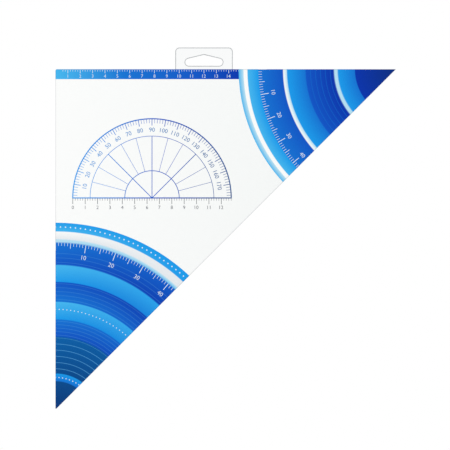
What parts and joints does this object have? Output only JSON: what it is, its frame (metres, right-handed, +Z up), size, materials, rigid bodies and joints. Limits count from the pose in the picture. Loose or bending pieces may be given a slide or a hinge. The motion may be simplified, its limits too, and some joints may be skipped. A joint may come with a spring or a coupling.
{
  "type": "adjustable set square",
  "caption": "Adjustable set square with protractor arc and clamp knob, packed in a triangular printed card folder with a clear hang tab.",
  "frame": {"origin": "middle of the hang slot, on the front face of the clear tab", "axes": "+X to the right along the card's upper edge, +Z up, +Y away from the viewer, so the printed face looks along -Y"},
  "size_m": [0.275, 0.0141, 0.2919],
  "materials": {
    "printed_card": "gloss printed",
    "plain_card": "coated white outside, uncoated inside",
    "tab_film": "clear film",
    "adhesive": "tacky",
    "clear_acrylic": "polished clear",
    "line_fill": "dark filled engraving",
    "brass": "satin",
    "steel": "bright",
    "white_plastic": "moulded white"
  },
  "bodies": {
    "folder": {"front_panel": "printed_card", "top_spine": "plain_card", "top_flap": "plain_card", "side_spine": "plain_card", "side_flap": "plain_card", "hang_tab": "tab_film", "tab_adhesive": "adhesive"},
    "square": {"body_plate": "clear_acrylic", "index_mark": "line_fill", "hinge_rivet": "brass", "hinge_cap": "brass", "thread_insert": "brass"},
    "arm": {"swing_arm": "clear_acrylic", "protractor_arc": "clear_acrylic", "arc_screws": "brass", "degree_scale": "line_fill", "slope_scale": "line_fill", "rise_scale": "line_fill"},
    "washer": {"clamp_washer": "white_plastic"},
    "knob": {"clamp_knob": "white_plastic", "clamp_stud": "steel"}
  },
  "joints": [
    {"name": "square_slide", "type": "slide", "parent": "folder", "child": "square", "axis": [0.7071, 0, -0.7071], "range_m": [0, 0.2]},
    {"name": "arm_swing", "type": "hinge", "parent": "square", "child": "arm", "pos_m": [0.10587, -0.00239, -0.02785], "axis": [0, -1, 0], "range_deg": [0, 45]},
    {"name": "clamp_lift", "type": "slide", "parent": "square", "child": "washer", "axis": [0, 1, 0], "range_m": [0, 0.00075]},
    {"name": "knob_turn", "type": "hinge", "parent": "washer", "child": "knob", "pos_m": [-0.02511, 0.0042, -0.1454], "axis": [0, 1, 0], "range_deg": [0, 540]}
  ],
  "couplings": [
    {"joint": "knob_turn", "follows": "clamp_lift", "rad_per_m": 12566}
  ]
}
